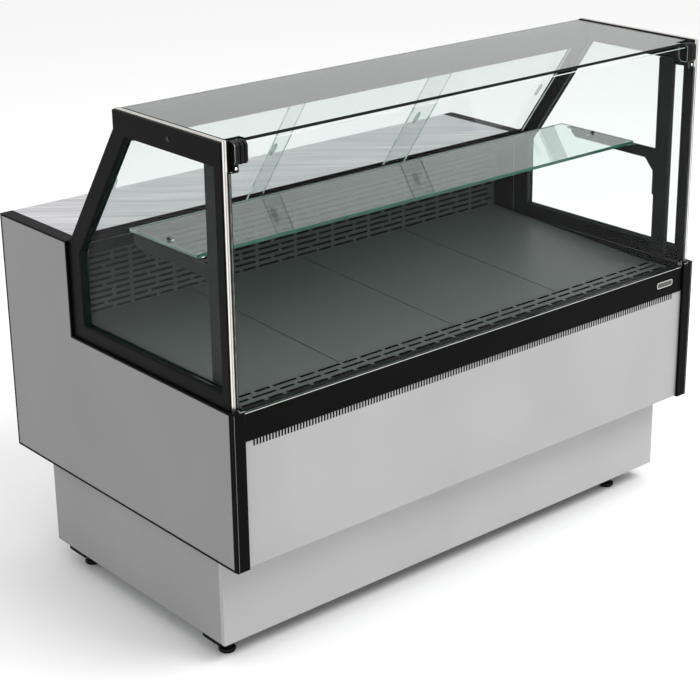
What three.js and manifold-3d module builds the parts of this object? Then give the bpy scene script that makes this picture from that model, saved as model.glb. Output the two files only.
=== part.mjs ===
// Refrigerated deli case: a serve-over counter with straight glass, built as separate pieces.
//
// Millimetres, +Z up. X runs along the case, Y runs from the customer's side (front) to the
// server's side (rear). Every piece is drawn with Y as its distance behind the front face; the
// group at the end moves the whole case so that the origin is on the floor under its middle.

import * as THREE from 'three';
import { mergeVertices } from 'three/addons/utils/BufferGeometryUtils.js';
import Module from 'manifold-3d';

const wasm = await Module();
wasm.setup();

// ---------------------------------------------------------------- driving dimensions

const LENGTH = 1500; // over the end panels
const DEPTH = 920; // front face to the rear edge of the end panels
const HALF = LENGTH / 2;
const GAP = 0.3; // kept between pieces that touch

const PANEL_T = 34; // insulated end panels
const INNER = HALF - PANEL_T - GAP; // half length between the end panels
const BODY_Z = 276; // underside of the insulated body
const LOW_Z = 651; // top of the end panels beside the glass
const HIGH_Z = 885; // top of the end panels beside the worktop
const STEP_Y = 625; // where the end panels step up
const POST_D = 7; // depth of the corner posts
const SHEET = 1.5; // folded sheet steel

const PLINTH_Z = 48; // underside of the plinth
const PLINTH_FRONT = 90.5;
const PLINTH_REAR = 794.5;
const PLINTH_HALF = HALF - 21.3;
const PLINTH_RETURN = 12; // folded end of the plinth front
const BAR_T = 8; // flat bars that carry the feet
const FOOT_X = { left: -685, right: 608 };
const BAR_FRONT = [111, 175];
const BAR_REAR = [675, 742];

const BUMPER_Z = [576, 643.5];
const BUMPER_Y = [6.3, 21];
const FRONT_FACE = 9.5; // front panel
const WALL_T = 34; // insulated front wall
const FLOOR_T = 36; // insulated floor
const DIVIDER_Y = [372, 388]; // between the evaporator space and the reserve
const CEILING_Z = [590, 606]; // over the reserve
const HEAD_Z = 620; // top of the reserve door head
const REAR_WALL_Y = [742, 775];
const REAR_FACE = 880; // face that the reserve doors close on
const MULLION = 36;

const DECK_FRONT = [121, 630]; // distance behind the front, height
const DECK_REAR = [701.2, 659.5];
const TRAY_T = 2;
const TRAY_COUNT = 4;
const DUCT_Y = 701.6;

const FRAME_X = [718, 744]; // side frames, inner and outer face
const FRAME_FRONT = 17;
const FRAME_TOP = 1234;
const WINDOW_FRONT = 37;
const WINDOW_Z = [686, 1182.5];
const WINDOW_REAR = 578;
const STRIP_X = [726, 739]; // bright edge strips
const STRIP_T = 2.4;

const SLOPE_FOOT = [615.4, HIGH_Z]; // lower end of the side frame's sloping rear edge
const SLOPE_UP = [-0.5683, 0.8227]; // unit vector up the slope, as (Y, Z)
const SLOPE_IN = [-0.8227, -0.5683]; // unit vector square to it, into the case
const SLOPE_LENGTH = 371.9;
const RAIL_W = 40.5; // width of the sloping rail, square to it

const GLASS_T = 6;
const GLASS_Y = 8; // front face of the front glass
const HINGE = [17, 1216]; // axis of the front glass, (Y, Z)
const HINGE_R = 16;
const SHELF_Z = 943.3;
const SHELF_T = 8;
const UPRIGHT_X = [703.5, 717.7];
const UPRIGHT_Y = [64, 106.5];

const WORKTOP_FRONT = 578;
const TRACK_GROOVES = [[2.5, 12.5], [15, 26]]; // outer and inner groove, distance in from the slope
const TRACK_SEAT = [616.5, 1]; // rear edge and depth of the step in the worktop that the lower track lies in
const DOOR_T = 5;
const DOOR_OVERLAP = 60;

const SERVICE_FACE = 919; // rear face of the reserve doors
const HANDLE_OUT = 32;

// ---------------------------------------------------------------- colours

const finish = (color, roughness, metalness, extra = {}) => ({ color, roughness, metalness, ...extra });
const GREY_COAT = finish(0x909090, 0.6, 0.1);
const PALE_COAT = finish(0xc4c4c4, 0.55, 0.1);
const BLACK_COAT = finish(0x151515, 0.45, 0.1);
const DARK_COAT = finish(0x565a58, 0.6, 0.1);
const STAINLESS = finish(0xd2d2d0, 0.3, 0.9);
const ALUMINIUM = finish(0xdcdad6, 0.3, 0.9);
const GALVANISED = finish(0xa8adb0, 0.5, 0.8);
const BLACK_PLASTIC = finish(0x101010, 0.5, 0);
const FOAM_LINER = finish(0xb9bcbc, 0.6, 0);
const GLASS = finish(0xdfeeea, 0.05, 0, { transparent: true, opacity: 0.35 });

// ---------------------------------------------------------------- geometry helpers

const AXES = {
  x: new THREE.Matrix4().makeBasis(
    new THREE.Vector3(0, 1, 0), new THREE.Vector3(0, 0, 1), new THREE.Vector3(1, 0, 0)),
  y: new THREE.Matrix4().makeBasis(
    new THREE.Vector3(1, 0, 0), new THREE.Vector3(0, 0, 1), new THREE.Vector3(0, -1, 0)),
  z: new THREE.Matrix4(),
};

// An outline with optional holes, pushed along one axis from one place to another.
// Outlines are (Y, Z) for axis x, (X, Z) for axis y and (X, Y) for axis z.
function prism(axis, from, to, outline, holes = []) {
  const points = (list) => list.map(([u, v]) => new THREE.Vector2(u, v));
  const shape = new THREE.Shape(points(outline));
  shape.holes = holes.map((hole) => new THREE.Path(points(hole)));
  const solid = new THREE.ExtrudeGeometry(shape, { depth: to - from, bevelEnabled: false });
  solid.applyMatrix4(AXES[axis]);
  const start = axis === 'y' ? to : from;
  const shift = { x: [start, 0, 0], y: [0, start, 0], z: [0, 0, start] }[axis];
  return solid.translate(...shift);
}

function box(x, y, z) {
  return new THREE.BoxGeometry(x[1] - x[0], y[1] - y[0], z[1] - z[0])
    .translate((x[0] + x[1]) / 2, (y[0] + y[1]) / 2, (z[0] + z[1]) / 2);
}

// A rod along one axis, from one place to another, centred on the other two coordinates.
function rod(axis, from, to, centre, radius, sides = 28) {
  const solid = new THREE.CylinderGeometry(radius, radius, to - from, sides);
  const middle = (from + to) / 2;
  if (axis === 'x') return solid.rotateZ(Math.PI / 2).translate(middle, centre[0], centre[1]);
  if (axis === 'y') return solid.translate(centre[0], middle, centre[1]);
  return solid.rotateX(Math.PI / 2).translate(centre[0], centre[1], middle);
}

function rectangle(u, v) {
  return [[u[0], v[0]], [u[1], v[0]], [u[1], v[1]], [u[0], v[1]]];
}

function toManifold(geometry) {
  const bare = geometry.clone();
  bare.deleteAttribute('normal');
  bare.deleteAttribute('uv');
  const merged = mergeVertices(bare, 1e-4);
  return new wasm.Manifold(new wasm.Mesh({
    numProp: 3,
    vertProperties: new Float32Array(merged.attributes.position.array),
    triVerts: new Uint32Array(merged.index.array),
  }));
}

function fromManifold(solid) {
  const mesh = solid.getMesh();
  const geometry = new THREE.BufferGeometry();
  geometry.setAttribute('position', new THREE.BufferAttribute(new Float32Array(mesh.vertProperties), 3));
  geometry.setIndex(new THREE.BufferAttribute(new Uint32Array(mesh.triVerts), 1));
  geometry.computeVertexNormals();
  return geometry;
}

function join(...solids) {
  return fromManifold(solids.map(toManifold).reduce((sum, next) => sum.add(next)));
}

function cut(solid, ...tools) {
  return fromManifold(tools.map(toManifold).reduce((rest, tool) => rest.subtract(tool), toManifold(solid)));
}

// The same piece for the other end of the case.
function mirrorX(geometry) {
  const copy = geometry.index ? geometry.toNonIndexed() : geometry.clone();
  const place = copy.attributes.position;
  for (let corner = 0; corner < place.count; corner += 3) {
    const a = new THREE.Vector3().fromBufferAttribute(place, corner);
    const b = new THREE.Vector3().fromBufferAttribute(place, corner + 1);
    const c = new THREE.Vector3().fromBufferAttribute(place, corner + 2);
    place.setXYZ(corner, -a.x, a.y, a.z);
    place.setXYZ(corner + 1, -c.x, c.y, c.z);
    place.setXYZ(corner + 2, -b.x, b.y, b.z);
  }
  copy.deleteAttribute('normal');
  if (copy.attributes.uv) copy.deleteAttribute('uv');
  copy.computeVertexNormals();
  return copy;
}

const deliCase = new THREE.Group();

function add(name, geometry, look) {
  const mesh = new THREE.Mesh(geometry, new THREE.MeshStandardMaterial(look));
  mesh.name = name;
  deliCase.add(mesh);
  return mesh;
}

// The piece drawn for the right-hand end, and its mirror image for the left.
function addPair(name, rightPiece, look) {
  add(`${name}_right`, rightPiece, look);
  add(`${name}_left`, mirrorX(rightPiece), look);
}

// A flat sheet with a return folded back at each end, seen from above.
function foldedSheet(half, faceY, returnY, z) {
  const inward = Math.sign(returnY - faceY) * SHEET;
  return prism('z', z[0], z[1], [
    [-half, faceY], [half, faceY], [half, returnY], [half - SHEET, returnY],
    [half - SHEET, faceY + inward], [-half + SHEET, faceY + inward],
    [-half + SHEET, returnY], [-half, returnY],
  ]);
}

// A point up the slope and in from it, as (Y, Z).
function onSlope(up, inward) {
  return [
    SLOPE_FOOT[0] + SLOPE_UP[0] * up + SLOPE_IN[0] * inward,
    SLOPE_FOOT[1] + SLOPE_UP[1] * up + SLOPE_IN[1] * inward,
  ];
}

// An axial fan rotor whose axis runs along Y.
function fanRotor(centre, y, { tip, hub }, blades = 5) {
  const [x, z] = centre;
  const middle = (y[0] + y[1]) / 2;
  const pieces = [rod('y', y[0], y[1], centre, hub, 20)];
  const root = hub - 4;
  const pitch = THREE.MathUtils.degToRad(32);
  for (let blade = 0; blade < blades; blade += 1) {
    const vane = new THREE.BoxGeometry(34, 2, tip - root);
    vane.rotateZ(pitch);
    vane.translate(0, 0, (tip + root) / 2);
    vane.rotateY((blade * 2 * Math.PI) / blades);
    pieces.push(vane.translate(x, middle, z));
  }
  return join(...pieces);
}

function circle(centre, radius, sides = 32) {
  return Array.from({ length: sides }, (_, step) => {
    const angle = (step * 2 * Math.PI) / sides;
    return [centre[0] + radius * Math.cos(angle), centre[1] + radius * Math.sin(angle)];
  });
}

// ---------------------------------------------------------------- base and plinth

function baseFrame() {
  const gableX = 700;
  const panY = [PLINTH_FRONT + PLINTH_RETURN + 2, PLINTH_REAR - 3];
  const barZ = [PLINTH_Z - BAR_T, PLINTH_Z];
  const pan = box([-gableX, gableX], panY, [PLINTH_Z - 1, PLINTH_Z + 2]);
  const bars = [BAR_FRONT, BAR_REAR].map((y) => box([-PLINTH_HALF, PLINTH_HALF], y, barZ));
  const gables = [-1, 1].map((side) => {
    const faces = [side * gableX, side * (gableX - 3)].sort((a, b) => a - b);
    return box(faces, panY, [PLINTH_Z, BODY_Z - GAP]);
  });
  return join(pan, ...bars, ...gables);
}

function levellingFoot() {
  const pad = [[0, 0], [17, 0], [20, 2.5], [20, 8], [17, 11], [12, 12.5], [12, 20]];
  const stud = [[8, 21], [8, PLINTH_Z - BAR_T - GAP], [0, PLINTH_Z - BAR_T - GAP]];
  const profile = [...pad, ...stud].map(([r, z]) => new THREE.Vector2(r, z));
  return new THREE.LatheGeometry(profile, 24).rotateX(Math.PI / 2);
}

function grilleSheet() {
  const slots = [];
  const pitch = 26;
  for (const z of [112, 172]) {
    for (let slot = 0; slot < 14; slot += 1) {
      const x = 130 + slot * pitch;
      slots.push(box([x, x + 10], [PLINTH_REAR - 4, PLINTH_REAR + 4], [z, z + 44]));
    }
  }
  const half = PLINTH_HALF - SHEET - GAP;
  const sheet = box([-half, half], [PLINTH_REAR - SHEET, PLINTH_REAR], [PLINTH_Z + GAP, BODY_Z - GAP]);
  return cut(sheet, ...slots);
}

add('base_frame', baseFrame(), GALVANISED);
for (const [end, barY] of [['front', BAR_FRONT], ['rear', BAR_REAR]]) {
  for (const hand of ['left', 'right']) {
    const foot = add(`foot_${end}_${hand}`, levellingFoot(), BLACK_PLASTIC);
    foot.position.set(FOOT_X[hand], (barY[0] + barY[1]) / 2, 0);
  }
}
const plinthZ = [PLINTH_Z + GAP, BODY_Z - GAP];
add('plinth_front', foldedSheet(PLINTH_HALF, PLINTH_FRONT, PLINTH_FRONT + PLINTH_RETURN, plinthZ), PALE_COAT);
addPair('plinth_side', box(
  [PLINTH_HALF - SHEET, PLINTH_HALF], [PLINTH_FRONT + PLINTH_RETURN + GAP, PLINTH_REAR], plinthZ), GREY_COAT);
add('plinth_rear_grille', grilleSheet(), GREY_COAT);

// ---------------------------------------------------------------- insulated body and cladding

function insulatedBody() {
  const wallY = [BUMPER_Y[1] + GAP, BUMPER_Y[1] + GAP + WALL_T];
  const floorZ = BODY_Z + FLOOR_T;
  const outline = [
    [wallY[0], BODY_Z], [REAR_FACE, BODY_Z], [REAR_FACE, floorZ], [DIVIDER_Y[1], floorZ],
    [DIVIDER_Y[1], CEILING_Z[0]], [REAR_FACE, CEILING_Z[0]], [REAR_FACE, HEAD_Z],
    [REAR_WALL_Y[1], HEAD_Z], [REAR_WALL_Y[1], HIGH_Z - 7], [REAR_WALL_Y[0], HIGH_Z - 7],
    [REAR_WALL_Y[0], CEILING_Z[1]], [DIVIDER_Y[0], CEILING_Z[1]], [DIVIDER_Y[0], floorZ],
    [wallY[1], floorZ], [wallY[1], 612], [wallY[0], 612],
  ];
  const mullion = box(
    [-MULLION / 2, MULLION / 2], [REAR_FACE - MULLION, REAR_FACE], [floorZ - 2, CEILING_Z[0] + 2]);
  return join(prism('x', -INNER, INNER, outline), mullion);
}

const endPanel = prism('x', HALF - PANEL_T, HALF, [
  [POST_D + GAP, BODY_Z], [DEPTH, BODY_Z], [DEPTH, HIGH_Z],
  [STEP_Y, HIGH_Z], [STEP_Y, LOW_Z], [POST_D + GAP, LOW_Z],
]);

add('insulated_body', insulatedBody(), FOAM_LINER);
addPair('end_panel', endPanel, GREY_COAT);
addPair('corner_post', box([HALF - PANEL_T, HALF], [0, POST_D], [BODY_Z, LOW_Z]), BLACK_COAT);
add('front_panel', foldedSheet(INNER, FRONT_FACE, BUMPER_Y[1], [BODY_Z, BUMPER_Z[0] - GAP]), PALE_COAT);
add('front_bumper', box([-INNER, INNER], BUMPER_Y, BUMPER_Z), BLACK_COAT);

// ---------------------------------------------------------------- display deck and air path

function deckTray(x) {
  const [frontY, frontZ] = DECK_FRONT;
  const [rearY, rearZ] = DECK_REAR;
  return prism('x', x[0], x[1], [
    [frontY, frontZ], [frontY, frontZ - 14], [frontY + TRAY_T, frontZ - 14],
    [frontY + TRAY_T, frontZ - TRAY_T], [rearY - TRAY_T, rearZ - TRAY_T],
    [rearY - TRAY_T, rearZ - 14], [rearY, rearZ - 14], [rearY, rearZ],
  ]);
}

function frontGrille() {
  const top = DECK_FRONT[1];
  const front = BUMPER_Y[1] + 1;
  const rear = DECK_FRONT[0] - GAP;
  return prism('x', -INNER + 1, INNER - 1, [
    [front, top], [front, 612 + GAP], [front + 2, 612 + GAP], [front + 2, top - 2],
    [rear - 2, top - 2], [rear - 2, top - 16], [rear + 12, top - 16],
    [rear + 12, top - 14 - GAP], [rear, top - 14 - GAP], [rear, top],
  ]);
}

function rearDuct() {
  const x = [-INNER + 1, INNER - 1];
  const sheet = box(x, [DUCT_Y, DUCT_Y + SHEET], [CEILING_Z[1] + GAP, HIGH_Z - 3.5]);
  const windows = [];
  for (let bay = 0; bay < 9; bay += 1) {
    const start = -INNER + 36 + bay * 157;
    windows.push(box([start, start + 124], [DUCT_Y - 2, DUCT_Y + 4], [CEILING_Z[1] + 6, DECK_REAR[1] - 20]));
  }
  const ledgeZ = DECK_REAR[1] - 14 - GAP;
  const ledge = box(x, [DUCT_Y - 12, DUCT_Y + 1], [ledgeZ - 2, ledgeZ]);
  return join(cut(sheet, ...windows), ledge);
}

const trayLength = (2 * (INNER - 1) - GAP * (TRAY_COUNT - 1)) / TRAY_COUNT;
for (let tray = 0; tray < TRAY_COUNT; tray += 1) {
  const x = -INNER + 1 + tray * (trayLength + GAP);
  add(`deck_tray_${tray + 1}`, deckTray([x, x + trayLength]), DARK_COAT);
}
add('front_air_grille', frontGrille(), DARK_COAT);
add('rear_air_duct', rearDuct(), DARK_COAT);

// ---------------------------------------------------------------- refrigeration

const EVAPORATOR_FAN_X = 340;
const EVAPORATOR_FAN_Z = 455;
const EVAPORATOR_FAN = { tip: 66, hub: 22 };
const CONDENSER_FAN = { tip: 92, hub: 26 };
const FAN_PLATE_Y = 262;
const FAN_CLEARANCE = 6; // between the blade tips and their opening
const CONDENSER_X = 300;
const CONDENSER_Z = 158;

function fanPlate() {
  const centres = [-EVAPORATOR_FAN_X, EVAPORATOR_FAN_X].map((x) => [x, EVAPORATOR_FAN_Z]);
  const floorZ = BODY_Z + FLOOR_T;
  const outline = rectangle([-INNER + 4, INNER - 4], [floorZ + GAP, CEILING_Z[0] - 10]);
  const holes = centres.map((centre) => circle(centre, EVAPORATOR_FAN.tip + FAN_CLEARANCE));
  const plate = prism('y', FAN_PLATE_Y, FAN_PLATE_Y + 2, outline, holes);
  const mounts = centres.flatMap((centre) => [
    box([centre[0] - EVAPORATOR_FAN.tip - 20, centre[0] + EVAPORATOR_FAN.tip + 20],
      [FAN_PLATE_Y - 3, FAN_PLATE_Y + 1], [centre[1] - 9, centre[1] + 9]),
    rod('y', FAN_PLATE_Y - 30, FAN_PLATE_Y, centre, 24, 20),
  ]);
  return join(plate, ...mounts);
}

function compressor() {
  const [x, y] = [-330, 430];
  const base = PLINTH_Z + 2 + GAP;
  const profile = [
    [0, 6], [86, 6], [92, 16], [92, 108], [84, 132], [62, 152], [30, 162], [0, 164],
  ].map(([r, z]) => new THREE.Vector2(r, z));
  const shell = new THREE.LatheGeometry(profile, 32).rotateX(Math.PI / 2).translate(x, y, base);
  const plate = box([x - 112, x + 112], [y - 78, y + 78], [base, base + 8]);
  const suction = rod('z', base + 120, base + 190, [x + 50, y], 7, 12);
  return join(shell, plate, suction);
}

function condenser() {
  const half = 116;
  const x = [CONDENSER_X - 170, CONDENSER_X + 170];
  const z = [PLINTH_Z + 2 + GAP, CONDENSER_Z + 104];
  const centre = [CONDENSER_X, CONDENSER_Z];
  const coil = box(x, [684, 744], z);
  const shroud = prism('y', 640, 685, rectangle([CONDENSER_X - half, CONDENSER_X + half], z),
    [circle(centre, CONDENSER_FAN.tip + FAN_CLEARANCE)]);
  const strut = box([CONDENSER_X - half, CONDENSER_X + half], [636, 641], [CONDENSER_Z - 9, CONDENSER_Z + 9]);
  const motor = rod('y', 602, 638, centre, 28, 20);
  return join(coil, shroud, strut, motor);
}

add('evaporator_coil', box([-560, 560], [84, 224], [400, 520]), ALUMINIUM);
add('evaporator_fan_plate', fanPlate(), GALVANISED);
for (const [hand, side] of [['left', -1], ['right', 1]]) {
  const centre = [side * EVAPORATOR_FAN_X, EVAPORATOR_FAN_Z];
  const y = [FAN_PLATE_Y + 12, FAN_PLATE_Y + 36];
  add(`evaporator_fan_${hand}`, fanRotor(centre, y, EVAPORATOR_FAN), BLACK_PLASTIC);
}
add('compressor', compressor(), BLACK_COAT);
add('condenser', condenser(), GALVANISED);
add('condenser_fan', fanRotor([CONDENSER_X, CONDENSER_Z], [650, 674], CONDENSER_FAN), BLACK_PLASTIC);

// ---------------------------------------------------------------- glass superstructure

const railInner = onSlope(0, RAIL_W);
const windowRearTop = railInner[1] - (WINDOW_REAR - railInner[0]) * (SLOPE_UP[1] / -SLOPE_UP[0]);
const windowTopRear = railInner[0] - (WINDOW_Z[1] - railInner[1]) * (-SLOPE_UP[0] / SLOPE_UP[1]);
const frameWindow = [
  [WINDOW_FRONT, WINDOW_Z[0]], [WINDOW_REAR, WINDOW_Z[0]], [WINDOW_REAR, windowRearTop],
  [windowTopRear, WINDOW_Z[1]], [WINDOW_FRONT, WINDOW_Z[1]],
];
const slopeTop = onSlope(SLOPE_LENGTH, 0);
const frameOutline = [
  [FRAME_FRONT, LOW_Z + GAP], [STEP_Y - GAP, LOW_Z + GAP], [STEP_Y - GAP, HIGH_Z],
  SLOPE_FOOT, slopeTop, [slopeTop[0], FRAME_TOP], [FRAME_FRONT, FRAME_TOP],
];

// The window drawn a little smaller, so that the pane sits inside it with a gap all round.
function pane() {
  const middle = [200, 900];
  const shrink = 0.998;
  return frameWindow.map(([y, z]) => [
    middle[0] + (y - middle[0]) * shrink,
    middle[1] + (z - middle[1]) * shrink,
  ]);
}

addPair('side_frame', prism('x', ...FRAME_X, frameOutline, [frameWindow]), BLACK_COAT);
addPair('side_glass', prism('x', 724, 734, pane()), GLASS);
addPair('edge_strip', prism('x', ...STRIP_X, [
  [FRAME_FRONT - GAP - STRIP_T, LOW_Z + GAP], [FRAME_FRONT - GAP, LOW_Z + GAP],
  [FRAME_FRONT - GAP, FRAME_TOP + GAP], [slopeTop[0], FRAME_TOP + GAP],
  [slopeTop[0], FRAME_TOP + GAP + STRIP_T], [FRAME_FRONT - GAP - STRIP_T, FRAME_TOP + GAP + STRIP_T],
]), ALUMINIUM);
addPair('shelf_upright', box(UPRIGHT_X, UPRIGHT_Y, [LOW_Z + GAP, WINDOW_Z[1]]), BLACK_COAT);

function shelfBracket() {
  const root = UPRIGHT_Y[1] + GAP;
  const top = SHELF_Z - GAP;
  const web = prism('x', 703, 707, [
    [root, top], [root, 819], [root + 4.5, 819], [root + 4.5, 882], [root + 32, 913],
    [385, 915], [400, 928], [400, top],
  ]);
  const ledge = box([686, 704], [root + 60, 400], [top - 3, top]);
  return join(web, ledge);
}

addPair('shelf_bracket', shelfBracket(), BLACK_COAT);
add('glass_shelf', box([-697.4, 697.4], [175.4, 429.5], [SHELF_Z, SHELF_Z + SHELF_T]), GLASS);

// Grooves for the sliding doors open down the slope from this beam.
function rearHeader() {
  const top = FRAME_TOP - GLASS_T - GAP;
  const [outer, inner] = TRACK_GROOVES;
  const mouth = SLOPE_LENGTH - 12;
  const bottom = SLOPE_LENGTH - 2;
  return prism('x', -FRAME_X[0] + GAP, FRAME_X[0] - GAP, [
    [368, top], [368, onSlope(SLOPE_LENGTH, 43.8)[1]],
    onSlope(SLOPE_LENGTH, inner[1] + 2.5), onSlope(mouth, inner[1] + 2.5), onSlope(mouth, inner[1]),
    onSlope(bottom, inner[1]), onSlope(bottom, inner[0]), onSlope(mouth, inner[0]),
    onSlope(mouth, outer[1]), onSlope(bottom, outer[1]), onSlope(bottom, outer[0]),
    onSlope(mouth, outer[0]), onSlope(mouth, 0), slopeTop, [slopeTop[0], top],
  ]);
}

// The lower track: the same grooves, open up the slope, on a flat foot that lies in the worktop's step.
function doorTrack() {
  const rise = GAP - TRACK_SEAT[1];
  const footZ = HIGH_Z + rise;
  const footAt = (inward) => onSlope((rise + SLOPE_UP[0] * -inward) / SLOPE_UP[1], inward);
  const [outer, inner] = TRACK_GROOVES;
  const ends = [footAt(0), footAt(inner[1] + 2.5)].map(([y]) => [y, footZ]);
  return prism('x', -FRAME_X[0] + GAP, FRAME_X[0] - GAP, [
    ends[0], onSlope(20, 0), onSlope(20, outer[0]), onSlope(11, outer[0]), onSlope(11, outer[1]),
    onSlope(24, outer[1]), onSlope(24, inner[0]), onSlope(20.5, inner[0]), onSlope(20.5, inner[1]),
    onSlope(31, inner[1]), onSlope(31, inner[1] + 2.5), ends[1],
  ]);
}

function slidingDoor(x, groove) {
  const middle = (groove[0] + groove[1]) / 2;
  const faces = [middle - DOOR_T / 2, middle + DOOR_T / 2];
  const foot = groove === TRACK_GROOVES[0] ? 12.5 : 22;
  const head = SLOPE_LENGTH - 3.5;
  return prism('x', x[0], x[1], [
    onSlope(foot, faces[0]), onSlope(head, faces[0]), onSlope(head, faces[1]), onSlope(foot, faces[1]),
  ]);
}

const topGlass = prism('z', FRAME_TOP - GLASS_T, FRAME_TOP, [
  [-717.4, 36], [-680, 36], [-680, 17], [680, 17], [680, 36], [717.4, 36],
  [717.4, slopeTop[0]], [-717.4, slopeTop[0]],
]);
const frontGlass = prism('y', GLASS_Y, GLASS_Y + GLASS_T, [
  [-715.9, 643.8], [715.9, 643.8], [715.9, 657], [725.7, 657], [725.7, 1168], [704.2, 1168],
  [704.2, 1223], [-704.2, 1223], [-704.2, 1168], [-725.7, 1168], [-725.7, 657], [-715.9, 657],
]);

add('rear_header', rearHeader(), BLACK_COAT);
add('door_track', doorTrack(), BLACK_COAT);
add('top_glass', topGlass, GLASS);
add('front_glass', frontGlass, GLASS);

const doorSpan = 717;
const doorLength = (2 * doorSpan + 2 * DOOR_OVERLAP) / 3;
add('sliding_door_left', slidingDoor([-doorSpan, -doorSpan + doorLength], TRACK_GROOVES[0]), GLASS);
add('sliding_door_middle', slidingDoor([-doorLength / 2, doorLength / 2], TRACK_GROOVES[1]), GLASS);
add('sliding_door_right', slidingDoor([doorSpan - doorLength, doorSpan], TRACK_GROOVES[0]), GLASS);

function hingeBase() {
  const knuckle = rod('x', 705, 717.5, HINGE, HINGE_R);
  const tab = box([705, 717.5], [11, 21], [1172, 1210]);
  const strap = box([715.5, 717.5], [FRAME_FRONT + 1, UPRIGHT_Y[0] - GAP], [1168, 1214]);
  return join(knuckle, tab, strap);
}

function hingeClamp() {
  const knuckle = rod('x', 686, 704.5, HINGE, HINGE_R);
  const cheeks = box([686, 704], [GLASS_Y - 5, GLASS_Y + GLASS_T + 6], [1186, 1214]);
  const slotY = [GLASS_Y - GAP, GLASS_Y + GLASS_T + GAP];
  return cut(join(knuckle, cheeks), box([680, 710], slotY, [1180, 1223 + GAP]));
}

addPair('hinge_base', hingeBase(), BLACK_PLASTIC);
addPair('hinge_clamp', hingeClamp(), BLACK_PLASTIC);

// ---------------------------------------------------------------- worktop and service side

const WORKTOP_T = 3;
const SWITCH_X = 520;
const KNOB_X = 600;
const CONTROL_Z = 745;

const worktop = prism('x', -INNER, INNER, [
  [WORKTOP_FRONT, HIGH_Z - TRACK_SEAT[1]], [WORKTOP_FRONT, HIGH_Z - 27], [WORKTOP_FRONT + 2, HIGH_Z - 27],
  [WORKTOP_FRONT + 2, HIGH_Z - WORKTOP_T], [DEPTH - 2, HIGH_Z - WORKTOP_T],
  [DEPTH - 2, HIGH_Z - 35], [DEPTH, HIGH_Z - 35], [DEPTH, HIGH_Z],
  [TRACK_SEAT[0], HIGH_Z], [TRACK_SEAT[0], HIGH_Z - TRACK_SEAT[1]],
]);

function controlPanel() {
  const face = DEPTH - 2 - GAP;
  const tray = foldedSheet(INNER, face, REAR_FACE + GAP, [HEAD_Z - 15, HIGH_Z - WORKTOP_T - GAP]);
  const rockerHole = box([SWITCH_X - 14, SWITCH_X + 14], [face - 6, face + 6], [CONTROL_Z - 12, CONTROL_Z + 12]);
  const spindleHole = rod('y', face - 6, face + 6, [KNOB_X, CONTROL_Z], 5, 16);
  return cut(tray, rockerHole, spindleHole);
}

// The rocker lies with its lower half pressed in, and tips over to the other side.
function rocker() {
  const face = DEPTH - 2 - GAP;
  const rest = THREE.MathUtils.degToRad(7);
  const solid = prism('x', -12.5, 12.5, [
    [-5, -10], [2, -10], [4, -9], [1.5, 0], [4, 9], [2, 10], [-5, 10],
  ]);
  return solid.rotateX(rest).translate(SWITCH_X, face, CONTROL_Z);
}

function thermostatKnob() {
  const face = DEPTH - 2 - GAP;
  const skirt = rod('y', face + 1, face + 5, [KNOB_X, CONTROL_Z], 21);
  const grip = rod('y', face + 4, face + 18, [KNOB_X, CONTROL_Z], 16);
  const spindle = rod('y', face - 8, face + 3, [KNOB_X, CONTROL_Z], 3, 16);
  return join(skirt, grip, spindle);
}

add('worktop', worktop, STAINLESS);
add('control_panel', controlPanel(), GREY_COAT);
add('mains_switch', rocker(), BLACK_PLASTIC);
add('thermostat_knob', thermostatKnob(), BLACK_PLASTIC);

const doorZ = [284, HEAD_Z - 18];
addPair('reserve_door', box([1.5, INNER - 1], [REAR_FACE + 1, SERVICE_FACE], doorZ), GREY_COAT);
const handleFoot = SERVICE_FACE + GAP;
const handleOut = SERVICE_FACE + HANDLE_OUT;
addPair('reserve_handle', prism('x', 30, 44, [
  [handleFoot, 380], [handleOut, 380], [handleOut, 520], [handleFoot, 520],
  [handleFoot, 510], [handleOut - 8, 510], [handleOut - 8, 390], [handleFoot, 390],
]), BLACK_PLASTIC);
add('mains_inlet', join(
  rod('y', PLINTH_REAR + GAP, PLINTH_REAR + 6, [-640, 120], 15, 6),
  rod('y', PLINTH_REAR + 5, PLINTH_REAR + 20, [-640, 120], 10, 20),
), BLACK_PLASTIC);

// ---------------------------------------------------------------- the case in its own frame

const rearMost = SERVICE_FACE + HANDLE_OUT;
deliCase.position.y = -rearMost / 2;

const assembly = new THREE.Group();
assembly.add(deliCase);
export default assembly;
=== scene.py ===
"""Refrigerated deli case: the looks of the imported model, with its camera, light and floor."""
import math

import bmesh
import bpy
from mathutils import Matrix, Vector


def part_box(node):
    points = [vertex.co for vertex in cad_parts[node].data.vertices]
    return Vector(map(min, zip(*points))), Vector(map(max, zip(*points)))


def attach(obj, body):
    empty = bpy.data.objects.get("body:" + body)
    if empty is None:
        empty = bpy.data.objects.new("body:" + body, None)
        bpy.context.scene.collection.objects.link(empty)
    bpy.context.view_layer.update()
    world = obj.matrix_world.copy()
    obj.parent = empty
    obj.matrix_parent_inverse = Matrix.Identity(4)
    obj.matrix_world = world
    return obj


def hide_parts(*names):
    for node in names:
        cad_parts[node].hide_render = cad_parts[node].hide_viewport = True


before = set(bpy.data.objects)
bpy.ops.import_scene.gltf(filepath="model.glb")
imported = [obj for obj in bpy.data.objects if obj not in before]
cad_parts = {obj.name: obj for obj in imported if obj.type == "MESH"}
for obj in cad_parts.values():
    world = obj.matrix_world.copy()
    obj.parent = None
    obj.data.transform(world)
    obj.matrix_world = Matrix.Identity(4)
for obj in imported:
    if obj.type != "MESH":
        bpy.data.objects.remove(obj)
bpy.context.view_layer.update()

MM = 0.001
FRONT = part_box("corner_post_left")[0].y  # the plane of the corner posts' front faces


# ---------------------------------------------------------------- camera, light and floor

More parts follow.
